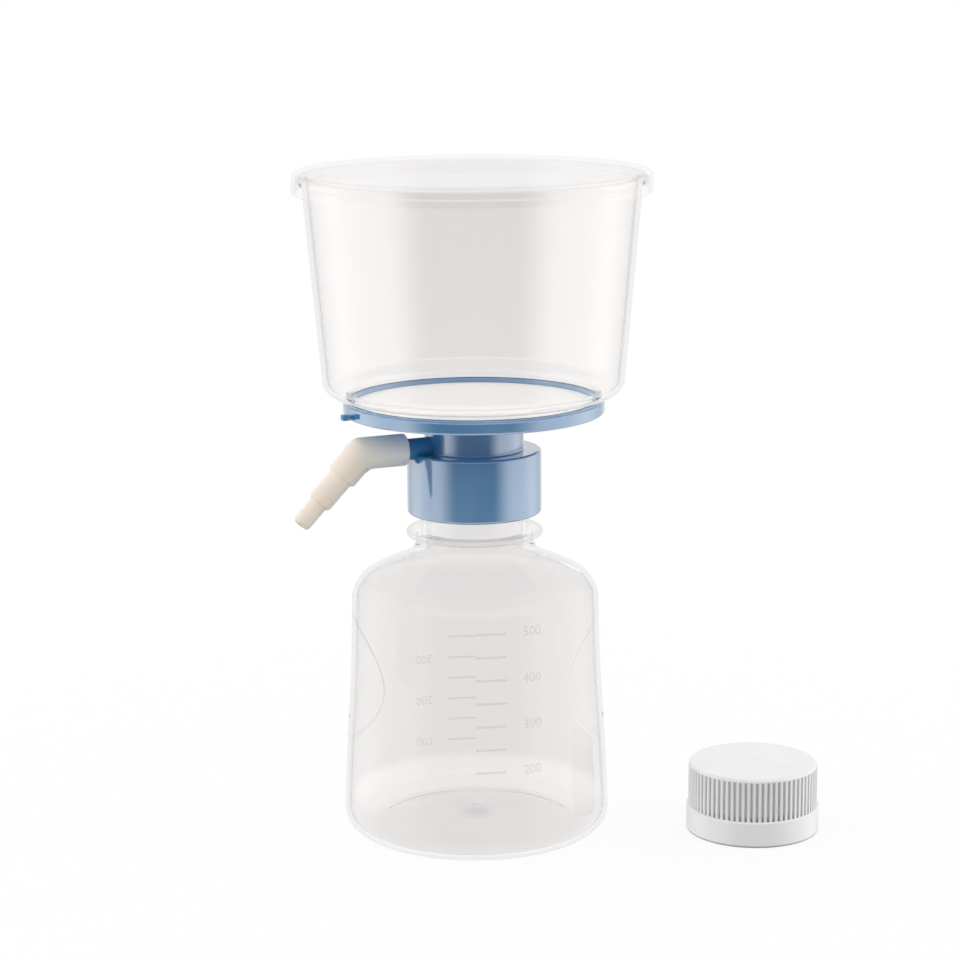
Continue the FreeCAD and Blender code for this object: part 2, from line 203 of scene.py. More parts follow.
# the painted shade of the gate fades over these radii, and that of the neck ring sets in over these
GATE_FADE_R = (3, 8)
RING_START_R = (21, 23)
PORT_START = (16.0, 17.5)            # the painted shade of the port starts at the neck's wall
TAB_EDGE = (1.6, 2.0)                # and on the tab this far past the rim and from its middle


def clear_plastic(name, tint, refraction, gloss, roughness, waviness, wave_scale, thickness=None):
    """Clear moulded polystyrene with the faint waviness of its wall.

    Shadows and soft light pass straight through, and only faces that light enters by are glossy. A thickness
    function, where one is given, paints light and shade into the tint.
    """
    material, nodes = new_finish(name)
    ripple = nodes.noise(wave_scale, 1.5)
    scuffs = nodes.noise(900.0, 3.0, (1, 1, 0.35))
    relief = nodes.add("Bump", {}, {"Strength": waviness, "Distance": 0.4 * MM, "Height": ripple})
    inside = nodes.add("NewGeometry", out="Backfacing")
    # for the bottle, thickness paints light and shade into the tint
    tone = thickness(nodes, rgba(tint)) if thickness else rgba(tint)
    plastic = nodes.add("BsdfPrincipled", {}, {
        "Base Color": tone, "Roughness": roughness * (0.7 + scuffs * 0.6), "IOR": refraction,
        "Transmission Weight": 1.0, "Coat Weight": 1 - inside, "Coat IOR": gloss, "Coat Roughness": roughness,
        "Normal": relief})
    glare_free = nodes.add("BsdfTransparent", {}, {"Color": rgba(LET_THROUGH)})
    shadows = nodes.add("LightPath", out="Is Shadow Ray")
    diffuse = nodes.add("LightPath", out="Is Diffuse Ray")
    surface = nodes.add("MixShader", {}, {0: shadows, 1: plastic, 2: glare_free})
    surface = nodes.add("MixShader", {}, {0: diffuse, 1: surface, 2: glare_free})
    nodes.add("OutputMaterial", {}, {"Surface": surface})
    return material


def ramp(distance, ends):
    """A distance's rise from 0 to 1 between two ends in millimetres."""
    return distance.rise(ends[0] * MM, ends[1] * MM)


def along_port(x, y):
    """How far out along the vacuum port a place lies."""
    turn = math.radians(PORT_AZIMUTH)
    return x * math.cos(turn) + y * math.sin(turn)


def bottle_thickness(nodes, tint):
    """The bottle's tint, with painted light and shade: a painted pale band on the far side of its heel, and
    painted shade in its gate, along its neck ring and along its grips' front edges.
    """
    x, y, z = nodes.axes()
    radius = (x * x + y * y).root()
    low_down = 1 - ramp(z, HEEL_END_Z)
    # painted light: paler on the far side of the heel
    heel = ramp(radius, HEEL_START_R) * low_down * ramp(y, (0, FAR_SIDE))
    # painted shade at the gate in the floor
    gate = (1 - ramp(radius, GATE_FADE_R)) * low_down
    # painted shade: a dark line along the grips' front edges, carried by the mesh
    edge = nodes.add("Attribute", {"attribute_name": "grip_edge_shade"}, out="Fac")
    tone = nodes.mix_colour(heel, tint, rgba(PAINTED_HEEL_LIGHT))
    # painted shade along the neck ring
    ring = ramp(radius, RING_START_R) * ramp(z, (RING[1] - 0.5, RING[1] + 0.5))
    tone = nodes.mix_colour(gate.most(ring), tone, rgba(PAINTED_GATE_RING_SHADE))
    return nodes.mix_colour(edge, tone, rgba(GRIP_EDGE_SHADE))


def blue_plastic(colours):
    """Glossy light blue plastic, with painted shade as a deeper blue in the port tube and the tab, which are
    also duller.
    """
    material, nodes = new_finish("blue_plastic")
    x, y, z = nodes.axes()
    flow = nodes.noise(60.0, stretch=(1, 1, 0.3))
    grain = nodes.noise(1500.0)
    turn = math.radians(PORT_AZIMUTH)
    along = along_port(x, y)
    beside = abs(y * math.cos(turn) - x * math.sin(turn))
    above = z - PORT_Z * MM
    off_axis = (beside * beside + above * above).root()
    # painted shade: a deeper, duller blue in the port tube and on the tab
    port_share = ramp(along, PORT_START) * (1 - ramp(off_axis, (PORT_R + 0.1, PORT_R + 0.5)))
    tab_share = ramp(along, [RIM_R + edge for edge in TAB_EDGE]) * (1 - ramp(beside, TAB_EDGE))
    shaded_share = port_share.most(tab_share * 0.7)
    colour = nodes.mix_colour(shaded_share, rgba(colours.blue), rgba(colours.deep_blue))
    colour = nodes.mix_colour(flow.rise(0.35, 0.75) * 0.12, colour, rgba(BLUE_FLOW))
    relief = nodes.add("Bump", {}, {"Strength": 0.08, "Distance": 0.05 * MM, "Height": grain})
    plastic = nodes.add("BsdfPrincipled", {}, {
        "Base Color": colour, "Roughness": 0.14 + flow * 0.08 + shaded_share * 0.4, "IOR": 1.4,
        "Coat Weight": 1 - shaded_share * 0.95, "Coat IOR": 1.85, "Coat Roughness": 0.09, "Normal": relief})
    nodes.add("OutputMaterial", {}, {"Surface": plastic})
    return material


def moulded_plastic(name, colour, shade, roughness, scale):
    """Opaque moulded plastic with a fine satin grain and faint flow marks."""
    material, nodes = new_finish(name)
    flow = nodes.noise(scale, 3.0, (1, 1, 0.4))
    tone = nodes.mix_colour(flow.rise(0.3, 0.8), rgba(colour), rgba(shade))
    plastic = nodes.add("BsdfPrincipled", {}, {
        "Base Color": tone, "Roughness": roughness + flow * 0.1, "Subsurface Weight": 0.1,
        "Subsurface Scale": 1.0 * MM, "Normal": nodes.fine_grain()})
    nodes.add("OutputMaterial", {}, {"Surface": plastic})
    return material


def adapter_plastic(colours):
    """Satin cream plastic, greyer at the socket than down the hose leg, as painted shade and a painted
    reflection of the blue base.
    """
    material, nodes = new_finish("adapter_plastic")
    x, y = nodes.axes()[:2]
    leg = ramp(along_port(x, y), (SOCKET[1], ELBOW + 6))
    flow = nodes.noise(90.0, 3.0, (1, 1, 0.4))
    # painted shade and a painted reflection of the blue base make the socket greyer
    tone = nodes.mix_colour(leg, rgba(colours.socket), rgba(colours.cream))
    tone = nodes.mix_colour(flow.rise(0.3, 0.8) * 0.3, tone, rgba(CREAM_FLOW))
    plastic = nodes.add("BsdfPrincipled", {}, {
        "Base Color": tone, "Roughness": 0.4 + flow * 0.1, "Subsurface Weight": 0.1,
        "Subsurface Scale": 1.0 * MM, "Normal": nodes.fine_grain()})
    nodes.add("OutputMaterial", {}, {"Surface": plastic})
    return material


def cap_plastic(colours):
    """White moulded plastic, with painted shade in the grooves of the ribs and a painted shadow along its
    foot.
    """
    material, nodes = new_finish("cap_plastic")
    x, y, z = nodes.axes()
    right, back = x - CAP_CENTRE.x * MM, y - CAP_CENTRE.y * MM
    radius = (right * right + back * back).root()
    band_h, rib_top = CAP_BAND[1], CAP_TOP_Z - CAP_TOP_LAND
    # painted shade in the grooves, darker towards the band
    groove = 1 - ramp(radius, (CAP_GRIP_R - CAP_RIB_DEPTH, CAP_GRIP_R - 0.15))
    groove = groove * ramp(z, (band_h - 0.1, band_h)) * (1 - ramp(z, (rib_top - 0.2, rib_top + 0.2)))
    shadow = nodes.mix_colour(ramp(z, (band_h, band_h + 3)), rgba(GROOVE_FOOT_SHADE), rgba(GROOVE_TOP_SHADE))
    flow = nodes.noise(120.0, 3.0, (1, 1, 0.4))
    tone = nodes.mix_colour(flow.rise(0.3, 0.8) * 0.5, rgba(colours.white), rgba(WHITE_FLOW))
    tone = nodes.mix_colour(groove, tone, shadow)
    # painted contact shadow along the foot
    tone = nodes.mix_colour(1 - ramp(z, (0.3, 1.0)), tone, rgba(CAP_FOOT_SHADOW))
    plastic = nodes.add("BsdfPrincipled", {}, {
        "Base Color": tone, "Roughness": 0.3 + flow * 0.1, "IOR": 1.5, "Coat Weight": 0.5, "Coat IOR": 1.5,
        "Coat Roughness": 0.2, "Normal": nodes.fine_grain()})
    nodes.add("OutputMaterial", {}, {"Surface": plastic})
    return material


def fibre_finish(name, colour, scale, depth):
    """A matt, felted surface: the membrane, the foam liner and the cotton plug."""
    material, nodes = new_finish(name)
    fibres = nodes.noise(scale, 6.0)
    clouds = nodes.noise(90.0)
    tone = nodes.mix_colour(clouds.rise(0.3, 0.8) * 0.5, rgba(colour), rgba([c * 0.95 for c in colour]))
    relief = nodes.add("Bump", {}, {"Strength": 0.35, "Distance": depth * MM, "Height": fibres})
    felt = nodes.add("BsdfPrincipled", {}, {
        "Base Color": tone, "Roughness": 0.55 + fibres * 0.25, "Sheen Weight": 0.1, "Normal": relief})
    nodes.add("OutputMaterial", {}, {"Surface": felt})
    return material


# ---- mesh helpers --------------------------------------------------------------------------------
def round_corner(bm, vert, radius):
    """Rounds one corner of a wire outline."""
    sides = [(edge.other_vert(vert).co - vert.co).normalized() for edge in vert.link_edges]
    opening = sides[0].angle(sides[1])
    segments = max(2, round((math.pi - opening) / FILLET_STEP))
    if radius < SMALL_FILLET:
        segments = min(segments, SMALL_FILLET_STEPS)
    bmesh.ops.bevel(bm, geom=[vert], offset=radius * MM / math.tan(opening / 2), offset_type="OFFSET",
                    affect="VERTICES", segments=segments, profile=0.5, material=-1, clamp_overlap=False)


def outline(bm, corners):
    """A wire through (radius, height, fillet) corners in millimetres, open where it runs along the axis."""
    verts = [bm.verts.new((corner[0] * MM, 0, corner[1] * MM)) for corner in corners]
    for here, after in zip(verts, verts[1:] + verts[:1]):
        if here.co.x > 0 or after.co.x > 0:
            bm.edges.new((here, after))
    for vert, corner in zip(verts, corners):
        if len(corner) > 2:
            round_corner(bm, vert, corner[2])


def spin_round(bm, steps=STEPS):
    """Turns the wire round the Z axis into a closed skin with its normals outwards."""
    bmesh.ops.spin(bm, geom=bm.verts[:] + bm.edges[:], cent=(0, 0, 0), axis=(0, 0, 1), angle=TURN,
                   steps=steps, use_merge=True)
    bmesh.ops.remove_doubles(bm, verts=bm.verts[:], dist=MERGE * MM)
    bmesh.ops.recalc_face_normals(bm, faces=bm.faces[:])


def turned(corners, steps=STEPS):
    """The closed skin that an outline makes when it is turned."""
    bm = bmesh.new()
    outline(bm, corners)
    spin_round(bm, steps)
    return bm


def add_rows(bm, bottom, top, spacing):
    """Cuts the upright edges of a wire between two heights into short rows."""
    for edge in bm.edges[:]:
        heights = sorted(v.co.z / MM for v in edge.verts)
        if heights[0] >= bottom and heights[1] <= top and heights[1] - heights[0] > spacing:
            cuts = int((heights[1] - heights[0]) / spacing)
            bmesh.ops.subdivide_edges(bm, edges=[edge], cuts=cuts)


def absorb(bm, other):
    """Adds another bmesh's skin to bm and frees it."""
    mesh = bpy.data.meshes.new("absorbed")
    other.to_mesh(mesh)
    other.free()
    bm.from_mesh(mesh)
    bpy.data.meshes.remove(mesh)


def place(bm, matrix):
    """Moves all of a bmesh."""
    bmesh.ops.transform(bm, matrix=matrix, verts=bm.verts[:])


THREAD_BITE = 0.4            # how far a ridge is rooted in its wall
THREAD_STEPS = 96            # faces of a ridge in one turn


def thread_ridge(wall, outward, bottom, turns, sizes):
    """One helical ridge on a wall; outward is 1 on a bolt and -1 in a nut."""
    bm = bmesh.new()
    root, crest = sizes.thread_root / MM / 2, sizes.thread_crest / MM / 2
    depth, pitch = sizes.thread_depth / MM, sizes.thread_pitch / MM
    flank = (root - crest) / depth * THREAD_BITE
    inner, tip = wall - outward * THREAD_BITE, wall + outward * depth
    section = [(inner, -root - flank), (tip, -crest), (tip, crest), (inner, root + flank)]
    face = bm.faces.new([bm.verts.new((r * MM, 0, (z + bottom) * MM)) for r, z in section])
    steps = int(THREAD_STEPS * turns)
    bmesh.ops.spin(bm, geom=[face] + face.edges[:] + face.verts[:], cent=(0, 0, 0), axis=(0, 0, 1),
                   dvec=(0, 0, pitch * turns * MM / steps), angle=TURN * turns, steps=steps)
    bmesh.ops.recalc_face_normals(bm, faces=bm.faces[:])
    return bm


def finish_piece(bm, name, body, nodes, finish, crease=35):
    """Makes a bmesh a smooth-shaded piece that rides on a body and stands for its CAD nodes."""
    mesh = bpy.data.meshes.new(name)
    bm.to_mesh(mesh)
    bm.free()
    mesh.shade_smooth()
    mesh.set_sharp_from_angle(angle=math.radians(crease))
    mesh.materials.append(finish)
    piece = bpy.data.objects.new(name, mesh)
    bpy.context.scene.collection.objects.link(piece)
    weighted = piece.modifiers.new("weighted_normals", "WEIGHTED_NORMAL")
    weighted.keep_sharp = True
    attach(piece, body)
    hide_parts(*nodes)


def repaint(node, finish):
    """Gives a CAD node that stays in view its finish."""
    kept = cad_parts[node]
    kept.data.materials.clear()
    kept.data.materials.append(finish)


# ---- sizes and colours ---------------------------------------------------------------------------
def length(name, description, millimetres):
    """A length that the panel shows, with its default in millimetres."""
    return FloatProperty(name=name, description=description, default=millimetres * MM, unit="LENGTH",
                         subtype="DISTANCE", precision=5)


def angle(name, description, degrees):
    """An angle that the panel shows, with its default in degrees."""
    return FloatProperty(name=name, description=description, default=math.radians(degrees), subtype="ANGLE")


def colour(name, description, value):
    """A colour that the panel shows."""
    return FloatVectorProperty(name=name, description=description, default=value, subtype="COLOR",
                               min=0, max=1)


class FILTER_PG_bottle(bpy.types.PropertyGroup):
    """Sizes of the receiver bottle."""

    wall: length("Wall", "Thickness of the bottle's wall", 2.0)
    heel_radius: length("Heel radius", "Radius of the side, carried down to the foot", 47.5)
    heel_fillet: length("Heel rounding", "Rounding between the side and the foot", 8.0)
    shoulder_fillet: length("Shoulder rounding", "Rounding between the side and the shoulder", 10.2)
    neck_fillet: length("Neck rounding", "Rounding between the shoulder and the neck", 7.4)
    neck_radius: length("Neck radius", "Radius of the neck under its ring", 20.4)
    grip_width: length("Grip width", "Width of an oval finger grip", 62.6)
    grip_height: length("Grip height", "Height of an oval finger grip", 45.6)
    grip_depth: length("Grip depth", "Depth of a finger grip at its front and back ends", 1.1)
    thread_pitch: length("Thread pitch", "Rise of the thread in one turn", 4.23)
    thread_depth: length("Thread depth", "Height of the thread's ridge", 1.7)
    thread_root: length("Thread root", "Width of the ridge at its wall", 2.2)
    thread_crest: length("Thread crest", "Width of the ridge at its tip", 1.0)


class FILTER_PG_finish(bpy.types.PropertyGroup):
    """Colours of the plastics."""

    clear: colour("Clear plastic", "Tint of the clear polystyrene", (0.875, 0.865, 0.86))
    lid: colour("Lid plastic", "Tint of the lid", (0.945, 0.935, 0.93))
    blue: colour("Blue plastic", "Colour of the filter base", (0.05, 0.205, 0.42))
    # painted shade: the port tube and the tab get this deeper blue
    deep_blue: colour("Deep blue", "Colour of the port tube", (0.004, 0.17, 0.385))
    membrane: colour("Membrane", "Colour of the filter membrane", (0.985, 0.962, 0.94))
    # painted shade and a painted blue reflection make the socket greyer than the hose leg
    socket: colour("Socket", "Colour of the adapter's socket", (0.86, 0.86, 0.85))
    cream: colour("Adapter", "Colour of the adapter's hose leg", (0.93, 0.83, 0.71))
    white: colour("Cap", "Colour of the spare cap", (0.86, 0.86, 0.855))


class FILTER_PG_stage(bpy.types.PropertyGroup):
    """Camera and light."""

    distance: length("Camera distance", "From the bottle's axis to the camera, along Y", 946.4)
    side: length("Camera side", "Camera's place to the right of the bottle's axis", 1.99)
    height: length("Camera height", "Height of the camera above the foot", 323.1)
    pitch: angle("Pitch", "Angle that the camera looks down", 11.774)
    roll: angle("Roll", "Turn of the camera about its line of sight", -0.413)
    lens: FloatProperty(name="Lens", description="Focal length in millimetres", default=103.44)
    softbox: FloatProperty(name="Softbox", description="Brightness of the panels in reflections", default=2.5)
    gap: angle("Gap", "Half angle of the dark gap between the panels", 48)


# ---- receiver bottle -----------------------------------------------------------------------------
BODY_DRAFT = 0.048           # the side's radius loses this much in each millimetre up
BODY_ROWS = (6, 90, 2.5)     # the side between these heights has rows this tall
PUSH_UP = (29.0, 3.2)        # radius and rise of the floor
DOME_R = 18.0                # the floor's upper skin rises more gently
GATE = (4.0, 1.2)            # radius and height of the moulding gate's pip
FOOT_R = 36.0
FLOOR_FILLETS = (14, 4)      # roundings of the floor's edge and the foot, outside
INNER_FLOOR_FILLETS = (20, 40)   # and inside
GATE_FILLETS = (3, 1.5)
SHOULDER_Z = 101.0
SHOULDER_SLOPE = math.tan(math.radians(24.7))
SHOULDER_CROWN = 0.5         # rise of the shoulder's middle over a plain cone
CROWN_FILLET = 110
INNER_NECK_FILLET = 2.5
RING = (24.0, 106.8, 2.0)    # radius, underside and thickness
RING_ROUNDING = 0.4          # share of the ring's thickness
FINISH_R = 19.0              # the threaded part of the neck
FINISH_THREAD = (11.6, 2.0)  # its start under the mouth, and its turns
MOUTH_FILLET = 0.6
BORE_R = 16.8
GRIP_Z = 57.5
GRIP_SPAN = (14, 86)         # heights between which the grips lie
GRIP_MARGIN = 5              # the mesh is finer to this far outside a grip
GRIP_CUTS = 3
GRIP_REACH = 1.3             # past this share of its half width a grip moves nothing
GRIP_MID_DEPTH = 0.4
GRIP_ROUNDING = 3.0          # width of the step at a grip's edge
EDGE_NEAR = 12               # the painted dark line along a grip's edge is full this far in front of the axis
EDGE_FOOT = 22               # it starts this far under the grip's middle
EDGE_RISE = 25               # and is full this much higher
EDGE_LEAST = 0.25
EDGE_ON_RIGHT = 0.35
SEAL_BORE_R = 15.9
SEAL_FILLET = 0.3
TICK = (10.5, 0.7)           # length and height of a graduation
MARK_RELIEF = 0.25
NUMERAL_SIZE = 4.6
NUMERAL_GAP = 6.0
SCALE_STEP = 50              # mL from tick to tick
SCALE_FOOT = 17.2            # height of the 100 mL tick
SCALE_SPACING = 8.03         # from tick to tick
SCALES = ((-90, 200, 500), (90, 100, 350))   # azimuth, first and last reading


def side_radius(sizes, z):
    """Radius of the drafted side at a height."""
    return sizes.heel_radius / MM - BODY_DRAFT * z


def shoulder_corner(sizes, inset):
    """Where the shoulder's cone meets the side, both moved inwards by inset."""
    drop = inset * math.hypot(1, SHOULDER_SLOPE)
    reach = sizes.heel_radius / MM - inset - sizes.neck_radius / MM
    z = (SHOULDER_Z - drop - SHOULDER_SLOPE * reach) / (1 - SHOULDER_SLOPE * BODY_DRAFT)
    return side_radius(sizes, z) - inset, z


def bottle_outline(sizes):
    """The section of the bottle's wall: up the outside, down the inside."""
    t = sizes.wall / MM
    heel, neck = sizes.heel_radius / MM, sizes.neck_radius / MM
    fillet = sizes.shoulder_fillet / MM
    out_r, out_z = shoulder_corner(sizes, 0)
    in_r, in_z = shoulder_corner(sizes, t)
    ring_r, ring_z, ring_t = RING
    ring_top, ring_fillet = ring_z + ring_t, ring_t * RING_ROUNDING
    inner_neck_z = in_z + SHOULDER_SLOPE * (in_r - BORE_R)
    crown_r = (out_r + neck) / 2 + SHOULDER_CROWN * math.sin(math.atan(SHOULDER_SLOPE))
    crown_z = (out_z + SHOULDER_Z) / 2 + SHOULDER_CROWN * math.cos(math.atan(SHOULDER_SLOPE))
    push_r, push_z = PUSH_UP
    gate_r, gate_h = GATE
    outside = [
        (0, push_z), (push_r, push_z, FLOOR_FILLETS[0]), (FOOT_R, 0, FLOOR_FILLETS[1]),
        (heel, 0, sizes.heel_fillet / MM), (out_r, out_z, fillet), (crown_r, crown_z, CROWN_FILLET),
        (neck, SHOULDER_Z, sizes.neck_fillet / MM), (neck, ring_z), (ring_r, ring_z, ring_fillet),
        (ring_r, ring_top, ring_fillet), (FINISH_R, ring_top), (FINISH_R, MOUTH_Z, MOUTH_FILLET)]
    inside = [
        (BORE_R, MOUTH_Z), (BORE_R, inner_neck_z, INNER_NECK_FILLET), (in_r, in_z, fillet - t),
        (heel - t, t, sizes.heel_fillet / MM - t), (FOOT_R - t / 2, t, INNER_FLOOR_FILLETS[0]),
        (DOME_R, push_z + t, INNER_FLOOR_FILLETS[1]), (gate_r, push_z + t, GATE_FILLETS[0]),
        (gate_r / 2, push_z + t + gate_h, GATE_FILLETS[1]), (0, push_z + t + gate_h)]
    return outside + inside


def press_grips(bm, sizes):
    """Presses an oval finger grip into each side of the bottle, in both skins of its wall."""
    wall = sizes.wall / MM
    half_w, half_h = sizes.grip_width / MM / 2, sizes.grip_height / MM / 2
    bottom, top = GRIP_SPAN
    # a painted dark line along each grip's front edge, kept as a vertex attribute
    shade = bm.verts.layers.float.new("grip_edge_shade")
    near = []
    for face in bm.faces:
        centre = face.calc_center_median() / MM
        radius = math.hypot(centre.x, centre.y)
        on_side = bottom < centre.z < top and radius > side_radius(sizes, centre.z) - 2 * wall
        reach = math.hypot(centre.y / (half_w + GRIP_MARGIN), (centre.z - GRIP_Z) / (half_h + GRIP_MARGIN))
        if on_side and reach < 1:
            near.append(face)
    edges = list(dict.fromkeys(edge for face in near for edge in face.edges))
    bmesh.ops.subdivide_edges(bm, edges=edges, cuts=GRIP_CUTS, use_grid_fill=True)
    for vert in bm.verts:
        point = vert.co / MM
        radius = math.hypot(point.x, point.y)
        side = side_radius(sizes, point.z)
        if not bottom < point.z < top or radius < side - 2 * wall:
            continue
        inset = wall if radius < side - wall / 2 else 0.0
        across, above = point.y * side / radius / half_w, (point.z - GRIP_Z) / half_h
        reach = math.hypot(across, above)
        if reach > GRIP_REACH:
            continue
        slope = math.hypot(across / half_w, above / half_h) / max(reach, 0.01)
        share = min(max((1 - reach) / max(slope, 1e-6) / GRIP_ROUNDING + 0.5, 0), 1)
        share = share * share * (3 - 2 * share)
        # painted shade on the outer skin only, in front, fading downwards and weaker on the right
        if not inset and point.y < 0:
            fade = min(-point.y / EDGE_NEAR, 1)
            fade *= min(max((point.z - GRIP_Z + EDGE_FOOT) / EDGE_RISE, EDGE_LEAST), 1)
            vert[shade] = (4 * share * (1 - share)) ** 2 * fade * (1.0 if point.x < 0 else EDGE_ON_RIGHT)
        depth = GRIP_MID_DEPTH * (1 - above * above)
        depth += (sizes.grip_depth / MM - GRIP_MID_DEPTH) * across * across
        wanted = side - inset - depth * share
        vert.co.x *= wanted / radius
        vert.co.y *= wanted / radius


def wrap(bm, side, azimuth):
    """Lays a flat layout (X along the wall, Y outwards, Z up) round a wall with the radius side(z)."""
    for vert in bm.verts:
        along, outward, z = vert.co / MM
        radius = side(z)
        angle = azimuth + along / radius
        vert.co = Vector(((radius + outward) * math.cos(angle), (radius + outward) * math.sin(angle), z)) * MM


def numeral(text, height):
    """A raised number that starts at X = 0, centred on Z = 0, as a layout for wrap()."""
    curve = bpy.data.curves.new("numeral", "FONT")
    curve.body = text
    curve.size = height * MM
    curve.extrude = MARK_RELIEF * MM
    curve.resolution_u = 3
    curve.align_y = "CENTER"
    holder = bpy.data.objects.new("numeral", curve)
    bm = bmesh.new()
    bm.from_mesh(holder.to_mesh())
    bpy.data.objects.remove(holder)
    bpy.data.curves.remove(curve)
    bmesh.ops.remove_doubles(bm, verts=bm.verts[:], dist=MERGE * MM)
    for vert in bm.verts:
        vert.co = Vector((vert.co.x, vert.co.z, vert.co.y))
    return bm


def add_scale(bm, side, azimuth, first, last):
    """Raises a scale on a wall: a tick at each 50 mL and a number beside each whole hundred."""
    for volume in range(first, last + 1, SCALE_STEP):
        z = SCALE_FOOT + SCALE_SPACING * (volume - 100) / SCALE_STEP
        tick = bmesh.new()
        bmesh.ops.create_grid(tick, x_segments=8, y_segments=1, size=0.5)
        bmesh.ops.solidify(tick, geom=tick.faces[:], thickness=1)
        bmesh.ops.recalc_face_normals(tick, faces=tick.faces[:])
        place(tick, Matrix.Translation((TICK[0] / 2 * MM, 0, z * MM)) @ Matrix.Rotation(QUARTER, 4, "X")
              @ Matrix.Diagonal((TICK[0] * MM, TICK[1] * MM, 2 * MARK_RELIEF * MM, 1)))
        wrap(tick, side, math.radians(azimuth))
        absorb(bm, tick)
        if volume % 100 == 0:
            label = numeral(str(volume), NUMERAL_SIZE)
            place(label, Matrix.Translation(((TICK[0] + NUMERAL_GAP) * MM, 0, z * MM)))
            wrap(label, side, math.radians(azimuth))
            absorb(bm, label)
    bmesh.ops.recalc_face_normals(bm, faces=bm.faces[:])


class FILTER_OT_bottle(bpy.types.Operator):
    """Build the clear receiver bottle with its finger grips and screw neck"""

    bl_idname = "filtration.bottle"
    bl_label = "Receiver bottle"

    def execute(self, context):
        sizes = context.scene.filtration_bottle
        colours = context.scene.filtration_finish
        bm = bmesh.new()
        outline(bm, bottle_outline(sizes))
        add_rows(bm, *BODY_ROWS)
        spin_round(bm)
        press_grips(bm, sizes)
        absorb(bm, thread_ridge(FINISH_R, 1, MOUTH_Z - FINISH_THREAD[0], FINISH_THREAD[1], sizes))
        for azimuth, first, last in SCALES:
            add_scale(bm, lambda z: side_radius(sizes, z), azimuth, first, last)
        # the bottle's tint carries painted light and shade
        finish = clear_plastic("clear_bottle_plastic", colours.clear, refraction=1.014, gloss=1.27,
                               roughness=0.03, waviness=0.05, wave_scale=35.0, thickness=bottle_thickness)
        finish_piece(bm, "clear_bottle", "receiver", ["receiver_bottle"], finish)
        return {"FINISHED"}


class FILTER_OT_seal(bpy.types.Operator):
    """Finish the soft washer between the bottle's mouth and the collar"""

    bl_idname = "filtration.seal"
    bl_label = "Neck seal"

    def execute(self, context):
        bottom, top = low("neck_seal").z, high("neck_seal").z
        outer = high("neck_seal").x
        corners = [(SEAL_BORE_R, bottom), (outer, bottom), (outer, top), (SEAL_BORE_R, top)]
        bm = turned([(r, z, SEAL_FILLET) for r, z in corners], 96)
        finish = moulded_plastic("seal_silicone", (0.78, 0.78, 0.76), (0.72, 0.72, 0.70),
                                 roughness=0.5, scale=200)
        finish_piece(bm, "neck_washer", "seal", ["neck_seal"], finish)
        return {"FINISHED"}


# ---- filter base ---------------------------------------------------------------------------------
COLLAR = (23.55, 114.8, 137.16)   # radius, bottom and top
COLLAR_ROOF_Z = MOUTH_Z + 1.5
COLLAR_THREAD = (13.2, 1.5)  # its start under the mouth, and its turns
NUT_R = 21.2                 # bore of the collar and the cap
BASE_NECK = (17.4, 2.0)      # radius and wall
PLATE_Z = 150.3
RIM_R = 45.6
WELL_R = 42.5
PAN_LIP = 1.2                # the drain pan ends this far inside the well
PAN_DEPTHS = (1.2, 0.5)      # its depth at the drip tube and at its edge
RIBS = 24
RIB_STARTS = (6.0, 20.0)     # long and short ribs by turns
RIB_END = WELL_R - 0.6
RIB_SIZE = (0.9, 1.5)        # width and height
DRIP = (4.0, 2.6)            # radius and bore of the drip tube
DRIP_END_Z = 131.0
PORT_AZIMUTH = 204.0
PORT_Z = 139.0
PORT_R = 3.65
PORT_BORE_R = 2.1
PORT_ROOT = 14.5
PORT_END = 35.6
TAB_SIZE = (5.3, 2.8, 2.0)
TAB_PLACE = (1.15, 1.7)      # its middle past the rim, and over the plate's underside
TAB_FILLET = 0.5


def along_port_at(z):
    """Turns a part drawn along +X to the port's side, and lifts it to a height."""
    return Matrix.Translation((0, 0, z * MM)) @ Matrix.Rotation(math.radians(PORT_AZIMUTH), 4, "Z")


def block(size, out, up):
    """A box with its middle at a distance out along +X and a height."""
    bm = bmesh.new()
    bmesh.ops.create_cube(bm, size=1, matrix=Matrix.Translation((out * MM, 0, up * MM))
                          @ Matrix.Diagonal((*(edge * MM for edge in size), 1)))
    return bm


